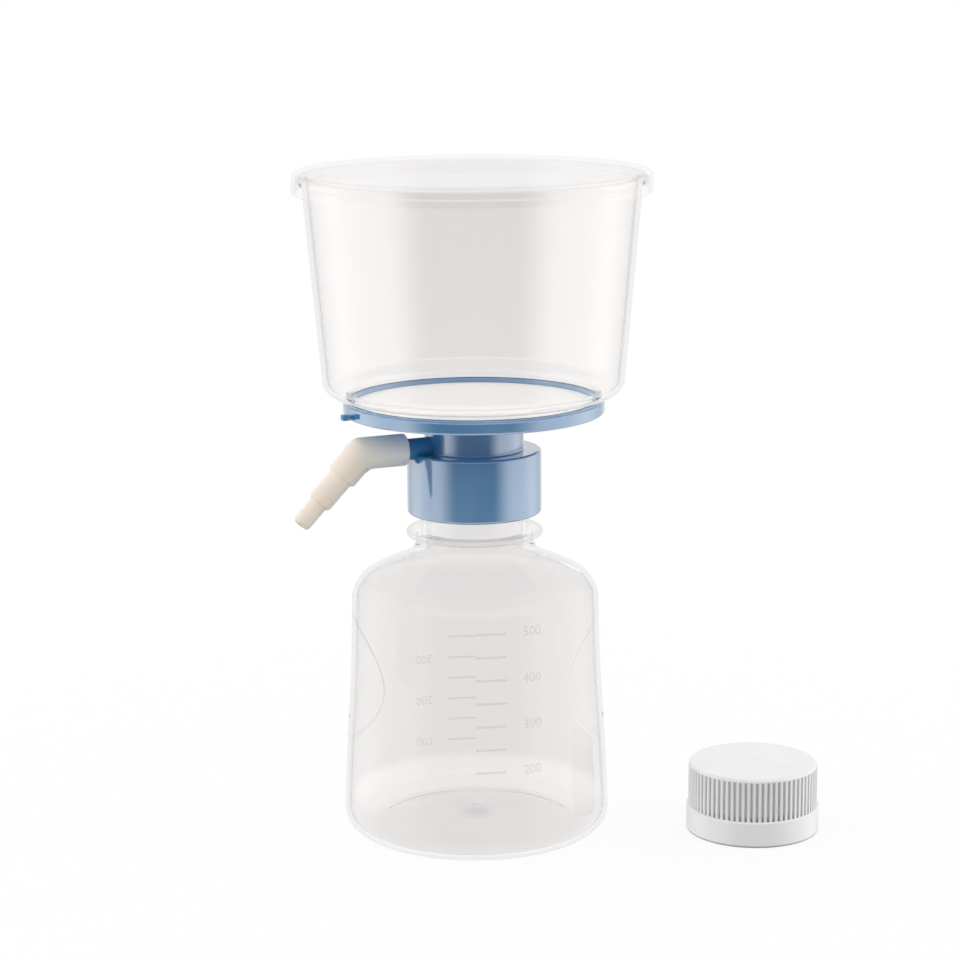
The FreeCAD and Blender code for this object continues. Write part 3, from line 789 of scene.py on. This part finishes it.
class FILTER_OT_base(bpy.types.Operator):
    """Build the blue filter base with its screw collar, drain ribs, vacuum port and tab"""

    bl_idname = "filtration.base"
    bl_label = "Filter base"

    def execute(self, context):
        sizes = context.scene.filtration_bottle
        collar_r, collar_z, collar_top = COLLAR
        seat, pan_r = MEMBRANE_Z, WELL_R - PAN_LIP
        neck_r, neck_bore = BASE_NECK[0], BASE_NECK[0] - BASE_NECK[1]
        drip_r, drip_bore = DRIP
        bm = turned([
            (drip_bore, seat - PAN_DEPTHS[0]), (pan_r, seat - PAN_DEPTHS[1]), (pan_r, seat), (WELL_R, seat),
            (WELL_R, RIM_Z), (RIM_R, RIM_Z, 1.2), (RIM_R, PLATE_Z, 0.8), (neck_r, PLATE_Z, 0.8),
            (neck_r, collar_top, 0.6), (collar_r, collar_top, 1.0), (collar_r, collar_z, 1.0),
            (NUT_R, collar_z, 0.5), (NUT_R, COLLAR_ROOF_Z), (neck_bore, COLLAR_ROOF_Z), (neck_bore, PLATE_Z),
            (drip_r, PLATE_Z), (drip_r, DRIP_END_Z, 0.4), (drip_bore, DRIP_END_Z, 0.4)])
        for i in range(RIBS):
            start = RIB_STARTS[i % 2]
            rib = block((RIB_END - start, *RIB_SIZE), (start + RIB_END) / 2, seat - RIB_SIZE[1] / 2)
            place(rib, Matrix.Rotation(TURN * i / RIBS, 4, "Z"))
            absorb(bm, rib)
        port = turned([(PORT_BORE_R, PORT_ROOT), (PORT_R, PORT_ROOT), (PORT_R, PORT_END, 0.5),
                       (PORT_BORE_R, PORT_END)], 64)
        place(port, along_port_at(PORT_Z) @ Matrix.Rotation(QUARTER, 4, "Y"))
        absorb(bm, port)
        tab = block(TAB_SIZE, RIM_R + TAB_PLACE[0], TAB_PLACE[1])
        bmesh.ops.bevel(tab, geom=tab.edges[:], offset=TAB_FILLET * MM, affect="EDGES", segments=3,
                        profile=0.5, material=-1)
        place(tab, along_port_at(PLATE_Z))
        absorb(bm, tab)
        absorb(bm, thread_ridge(NUT_R, -1, MOUTH_Z - COLLAR_THREAD[0], COLLAR_THREAD[1], sizes))
        finish = blue_plastic(context.scene.filtration_finish)
        finish_piece(bm, "blue_filter_base", "filter_head", ["filter_base"], finish)
        repaint("port_plug", fibre_finish("cotton", (0.85, 0.84, 0.82), scale=900.0, depth=0.3))
        return {"FINISHED"}


class FILTER_OT_membrane(bpy.types.Operator):
    """Lay the white membrane on its seat"""

    bl_idname = "filtration.membrane"
    bl_label = "Membrane"

    def execute(self, context):
        bottom, top = low("membrane").z, high("membrane").z
        radius = high("membrane").x
        bm = turned([(0, bottom), (radius, bottom, 0.08), (radius, top, 0.08), (0, top)], 128)
        colours = context.scene.filtration_finish
        finish = fibre_finish("membrane_felt", colours.membrane, scale=2500.0, depth=0.03)
        finish_piece(bm, "filter_membrane", "filter_head", ["membrane"], finish)
        return {"FINISHED"}


# ---- funnel and lid ------------------------------------------------------------------------------
FUNNEL_GAUGE = (52.55, 161.3)    # outer radius, and the height that it is measured at
FUNNEL_DRAFT = 0.088             # the wall moves out this much in each millimetre up
FUNNEL_WALL = 2.0
FUNNEL_FOOT_R = 44.3
FUNNEL_FOOT_H = 2.0
FUNNEL_CORNER = 5.2
FUNNEL_RIM = (60.0, 2.6)         # radius and height
FUNNEL_FILLET = 0.5
LID_WALLS = (1.8, 1.4)           # roof and skirt
LID_GAP = 0.5                    # from the funnel's rim to the skirt
LID_FLARE = 0.05                 # the skirt moves out this much in each millimetre down


def funnel_radius(z):
    """Outer radius of the funnel at a height."""
    return FUNNEL_GAUGE[0] + FUNNEL_DRAFT * (z - FUNNEL_GAUGE[1])


class FILTER_OT_funnel(bpy.types.Operator):
    """Build the clear funnel"""

    bl_idname = "filtration.funnel"
    bl_label = "Funnel"

    def execute(self, context):
        under = RIM_Z + FUNNEL_FOOT_H
        floor, top = under + FUNNEL_WALL, FUNNEL_TOP_Z
        rim_r, rim_under = FUNNEL_RIM[0], top - FUNNEL_RIM[1]
        t = FUNNEL_WALL
        bm = turned([
            (FUNNEL_FOOT_R, RIM_Z), (FUNNEL_FOOT_R, under, FUNNEL_FILLET),
            (funnel_radius(under), under, FUNNEL_CORNER),
            (funnel_radius(rim_under), rim_under, FUNNEL_FILLET), (rim_r, rim_under, FUNNEL_FILLET),
            (rim_r, top, FUNNEL_FILLET), (funnel_radius(top) - t, top, 0.4),
            (funnel_radius(floor) - t, floor, FUNNEL_CORNER - t), (WELL_R, floor, 2.5), (WELL_R, RIM_Z)],
            CUP_STEPS)
        colours = context.scene.filtration_finish
        finish = clear_plastic("clear_funnel_plastic", colours.clear, refraction=1.01, gloss=1.6,
                               roughness=0.02, waviness=0.04, wave_scale=30.0)
        finish_piece(bm, "clear_funnel", "filter_head", ["funnel"], finish)
        return {"FINISHED"}


class FILTER_OT_lid(bpy.types.Operator):
    """Build the clear lid over the funnel's rim"""

    bl_idname = "filtration.lid"
    bl_label = "Lid"

    def execute(self, context):
        roof, skirt = LID_WALLS
        under, bottom = LID_TOP_Z - roof, low("lid").z
        bore = FUNNEL_RIM[0] + LID_GAP
        flare = LID_FLARE * (under - bottom)
        bm = turned([
            (0, under), (bore, under, 0.8), (bore + flare, bottom, 0.3), (bore + skirt + flare, bottom, 0.6),
            (bore + skirt, LID_TOP_Z, 2.2), (0, LID_TOP_Z)], CUP_STEPS)
        colours = context.scene.filtration_finish
        finish = clear_plastic("clear_lid_plastic", colours.lid, refraction=1.002, gloss=1.4,
                               roughness=0.12, waviness=0.06, wave_scale=40.0)
        finish_piece(bm, "clear_lid", "cover", ["lid"], finish)
        return {"FINISHED"}


# ---- hose adapter --------------------------------------------------------------------------------
SOCKET = (5.6, 26.3)         # radius, and distance of its face from the bottle's axis
SOCKET_GAP = 0.05            # round the port
SOCKET_DEPTH = PORT_END + 0.6    # where the wide bore ends, from the bottle's axis
ELBOW = 42.3
LEG_DROP = math.radians(45)
KNUCKLE = 1.6                # rounding of the elbow
HOSE_BORE_R = 1.9
STEP_START = 3.3             # this and STEP_ENDS are measured down the leg from the elbow
STEPS_R = (5.4, 4.3, 3.2)
STEP_ENDS = (11.0, 22.7, 32.4)
STEP_CONE = 1.2
SAME_PLACE = 0.01            # distances under this count as none


def fold_at_elbow(bm, start):
    """Mitres a tube turned along Z at the elbow, and hangs it on the port's axis."""
    for vert in bm.verts:
        past = vert.co.z / MM + start - ELBOW
        across, upward = vert.co.y / MM, vert.co.x / MM
        if abs(past) < SAME_PLACE:
            x, z = upward * math.tan(LEG_DROP / 2), upward
        elif past < 0:
            x, z = past, upward
        else:
            x = past * math.cos(LEG_DROP) + upward * math.sin(LEG_DROP)
            z = upward * math.cos(LEG_DROP) - past * math.sin(LEG_DROP)
        vert.co = Vector((ELBOW + x, across, z)) * MM
    place(bm, along_port_at(PORT_Z))


class FILTER_OT_adapter(bpy.types.Operator):
    """Build the stepped hose adapter on the port"""

    bl_idname = "filtration.adapter"
    bl_label = "Hose adapter"

    def execute(self, context):
        socket_r, start = SOCKET
        elbow = ELBOW - start
        seat, bore = SOCKET_DEPTH - start, PORT_R + SOCKET_GAP
        ends = [elbow + end for end in STEP_ENDS]
        corners = [
            (bore, 0), (socket_r, 0, 0.6), (socket_r, elbow), (socket_r, elbow + STEP_START, 0.15),
            (STEPS_R[0], elbow + STEP_START)]
        for i, (radius, end) in enumerate(zip(STEPS_R, ends)):
            tip = radius - STEP_CONE / 2 if i == 2 else (radius + STEPS_R[i + 1]) / 2
            corners += [(radius, end - STEP_CONE), (tip, end)]
            if i < 2:
                corners.append((STEPS_R[i + 1], end))
        corners += [(HOSE_BORE_R, ends[-1]), (HOSE_BORE_R, elbow), (HOSE_BORE_R, seat), (bore, seat)]
        bm = turned(corners, 72)
        outside = [vert for vert in bm.verts if vert.co.xy.length > PORT_R * MM]
        at_elbow = {vert for vert in outside if abs(vert.co.z / MM - elbow) < SAME_PLACE}
        knuckle = [edge for edge in bm.edges if at_elbow.issuperset(edge.verts)]
        fold_at_elbow(bm, start)
        bmesh.ops.bevel(bm, geom=knuckle, offset=KNUCKLE * MM, affect="EDGES", segments=4, profile=0.5,
                        material=-1)
        finish = adapter_plastic(context.scene.filtration_finish)
        finish_piece(bm, "stepped_hose_adapter", "adapter", ["hose_adapter"], finish,
                     crease=50)
        return {"FINISHED"}


# ---- spare cap -----------------------------------------------------------------------------------
CAP_BAND = (23.5, 9.2)       # radius and height
CAP_THREAD_TURNS = 1.5
CAP_GRIP_R = 22.8
CAP_ROOF = 2.0
CAP_TOP_LAND = 1.4           # the ribs end this far under the top
CAP_RIBS = 72
CAP_RIB_DEPTH = 0.6
CAP_RIB_STEPS = 8
CAP_RUN_OUT = (0.1, 0.3)     # the wall over the ribs steps in by this, over this height
RIB_CREST = 0.4              # share of a rib's pitch that is crest
RIB_FLANK = 0.15             # and that each flank takes


def rib_share(turn):
    """1 on a rib's crest and 0 in the groove, at a share of a turn."""
    place_in_rib = (turn * CAP_RIBS) % 1
    if place_in_rib < RIB_CREST:
        return 1.0
    if place_in_rib < RIB_CREST + RIB_FLANK:
        return (RIB_CREST + RIB_FLANK - place_in_rib) / RIB_FLANK
    return max(0.0, (place_in_rib - 1 + RIB_FLANK) / RIB_FLANK)


class FILTER_OT_cap(bpy.types.Operator):
    """Build the ribbed spare cap that stands beside the bottle"""

    bl_idname = "filtration.cap"
    bl_label = "Spare cap"

    def execute(self, context):
        sizes = context.scene.filtration_bottle
        band_r, band_h = CAP_BAND
        rib_top, under = CAP_TOP_Z - CAP_TOP_LAND, CAP_TOP_Z - CAP_ROOF
        step, rise = CAP_RUN_OUT
        bm = turned([
            (NUT_R, 0), (band_r, 0, 0.6), (band_r, band_h, 0.6), (CAP_GRIP_R, band_h),
            (CAP_GRIP_R, band_h + rise), (CAP_GRIP_R, rib_top), (CAP_GRIP_R - step, rib_top + rise),
            (CAP_GRIP_R - step, CAP_TOP_Z, 1.1), (0, CAP_TOP_Z), (0, under), (NUT_R, under, 0.5)],
            CAP_RIBS * CAP_RIB_STEPS)
        for vert in bm.verts:
            x, y, z = vert.co / MM
            radius = math.hypot(x, y)
            if abs(radius - CAP_GRIP_R) < 2 * SAME_PLACE and band_h - 0.1 < z < rib_top + 0.1:
                groove = 1 - rib_share(math.atan2(y, x) / TURN % 1)
                share = (radius - CAP_RIB_DEPTH * groove) / radius
                vert.co.x *= share
                vert.co.y *= share
        absorb(bm, thread_ridge(NUT_R, -1, band_h / 2, CAP_THREAD_TURNS, sizes))
        place(bm, Matrix.Translation((CAP_CENTRE.x * MM, CAP_CENTRE.y * MM, 0)))
        finish = cap_plastic(context.scene.filtration_finish)
        finish_piece(bm, "ribbed_cap", "receiver", ["storage_cap"], finish, crease=40)
        repaint("cap_liner", fibre_finish("liner_foam", (0.80, 0.80, 0.78), scale=700.0, depth=0.2))
        return {"FINISHED"}


# ---- stage ---------------------------------------------------------------------------------------
PANEL_SOFTNESS = math.radians(18)
PANEL_BACK = (math.radians(105), math.radians(150))     # the panels fade out over these azimuths
LAMP = (0.2465, 0.95, 0.19)  # direction of a small lamp that only reflections show
LAMP_EDGE = (0.9991, 0.9996)
FLOOR_R = 6.0                # metres
FLOOR_DROP = 0.05
FLOOR_GREY = (0.45, 0.45, 0.45)
FLOOR_GLOW = 1.36
WHITE = (1, 1, 1)


def studio_world(settings):
    """White all round for what is seen, plain soft light for what is lit, and side panels in reflections."""
    world = bpy.data.worlds.new("studio")
    world.use_nodes = True
    world.cycles.sampling_method = "NONE"
    bpy.context.scene.world = world
    nodes = Nodes(world.node_tree)
    x, y, z = nodes.axes("Generated")
    azimuth = abs(x.maths("ARCTAN2", x, -y))
    front = 1 - azimuth.rise(settings.gap - PANEL_SOFTNESS, settings.gap + PANEL_SOFTNESS)
    front = front * (1 - abs(z).rise(0.25, 0.5))
    behind = azimuth.rise(*PANEL_BACK)
    back = behind * (1 - z.rise(0.0, 0.2))
    panels = (1 - front) * (1 - behind) * (1 - z.rise(0.6, 0.8))
    lamp = (x * LAMP[0] + y * LAMP[1] + z * LAMP[2]).rise(*LAMP_EDGE)
    glow = 1.0 - front * 0.65 - back * 0.12 + panels * (settings.softbox - 1.0) + lamp * 1.5
    plain = 1.0 - front * 0.8 + panels * 0.6 - z.rise(0.6, 0.9) * 0.3
    camera = nodes.add("LightPath", out="Is Camera Ray")
    passed = nodes.add("LightPath", out="Is Transmission Ray")
    diffuse = nodes.add("LightPath", out="Is Diffuse Ray")
    bounces = nodes.add("LightPath", out="Glossy Depth")
    mirrored = bounces.least(1.0) * (1 - diffuse)
    seen = camera.most(passed * (1 - mirrored))
    strength = seen + (1 - seen) * (mirrored * glow + (1 - mirrored) * plain)
    light = nodes.add("Background", {}, {"Color": rgba(WHITE), "Strength": strength})
    nodes.add("OutputWorld", {}, {"Surface": light})


def floor_finish():
    """White to the eye, apart from the soft shadow of what stands on it. Reflections see past it."""
    material, nodes = new_finish("studio_floor")
    matt = nodes.add("BsdfDiffuse", {}, {"Color": rgba(FLOOR_GREY)})
    glow = nodes.add("Emission", {}, {"Color": rgba(WHITE), "Strength": FLOOR_GLOW})
    clear = nodes.add("BsdfTransparent")
    camera = nodes.add("LightPath", out="Is Camera Ray")
    passed = nodes.add("LightPath", out="Is Transmission Ray")
    bounces = nodes.add("LightPath", out="Glossy Depth")
    diffuse = nodes.add("LightPath", out="Is Diffuse Ray")
    body = nodes.add("MixShader", {}, {0: camera.most(passed) * 0.6, 1: matt, 2: glow})
    body = nodes.add("MixShader", {}, {0: bounces.least(1.0) * (1 - diffuse), 1: body, 2: clear})
    nodes.add("OutputMaterial", {}, {"Surface": body})
    return material


class FILTER_OT_stage(bpy.types.Operator):
    """Set the floor, the light and the camera"""

    bl_idname = "filtration.stage"
    bl_label = "Stage"

    def execute(self, context):
        settings = context.scene.filtration_stage
        bm = bmesh.new()
        bmesh.ops.create_circle(bm, cap_ends=True, segments=64, radius=FLOOR_R,
                                matrix=Matrix.Translation((0, 0, -FLOOR_DROP * MM)))
        mesh = bpy.data.meshes.new("floor")
        bm.to_mesh(mesh)
        bm.free()
        mesh.materials.append(floor_finish())
        floor = bpy.data.objects.new("floor", mesh)
        context.scene.collection.objects.link(floor)
        studio_world(settings)
        camera = bpy.data.objects.new("camera", bpy.data.cameras.new("camera"))
        camera.data.lens = settings.lens
        camera.data.clip_end = 20
        look = Matrix.Rotation(QUARTER - settings.pitch, 4, "X") @ Matrix.Rotation(settings.roll, 4, "Z")
        camera.matrix_world = Matrix.Translation((settings.side, -settings.distance, settings.height)) @ look
        context.scene.collection.objects.link(camera)
        context.scene.camera = camera
        context.scene.view_settings.view_transform = "Standard"
        return {"FINISHED"}


# ---- panel ---------------------------------------------------------------------------------------
GROUPS = {
    "filtration_bottle": FILTER_PG_bottle,
    "filtration_finish": FILTER_PG_finish,
    "filtration_stage": FILTER_PG_stage,
}
OPERATORS = (FILTER_OT_stage, FILTER_OT_bottle, FILTER_OT_seal, FILTER_OT_base, FILTER_OT_membrane,
             FILTER_OT_funnel, FILTER_OT_lid, FILTER_OT_adapter, FILTER_OT_cap)


class FILTER_PT_panel(bpy.types.Panel):
    """Sizes, colours and pieces of the filtration unit"""

    bl_idname = "FILTER_PT_panel"
    bl_label = "Vacuum filtration unit"
    bl_space_type = "VIEW_3D"
    bl_region_type = "UI"
    bl_category = "Filtration"

    def draw(self, context):
        for group in GROUPS:
            box = self.layout.box()
            settings = getattr(context.scene, group)
            for name in settings.bl_rna.properties.keys():
                if name not in ("rna_type", "name"):
                    box.prop(settings, name)
        for operator in OPERATORS:
            self.layout.operator(operator.bl_idname)


def register():
    for group, kind in GROUPS.items():
        bpy.utils.register_class(kind)
        setattr(bpy.types.Scene, group, PointerProperty(type=kind))
    for kind in (*OPERATORS, FILTER_PT_panel):
        bpy.utils.register_class(kind)


def unregister():
    for kind in (*OPERATORS, FILTER_PT_panel):
        bpy.utils.unregister_class(kind)
    for group, kind in GROUPS.items():
        delattr(bpy.types.Scene, group)
        bpy.utils.unregister_class(kind)


def main():
    register()
    for operator in OPERATORS:
        group, name = operator.bl_idname.split(".")
        getattr(getattr(bpy.ops, group), name)()


if __name__ == "__main__":
    main()
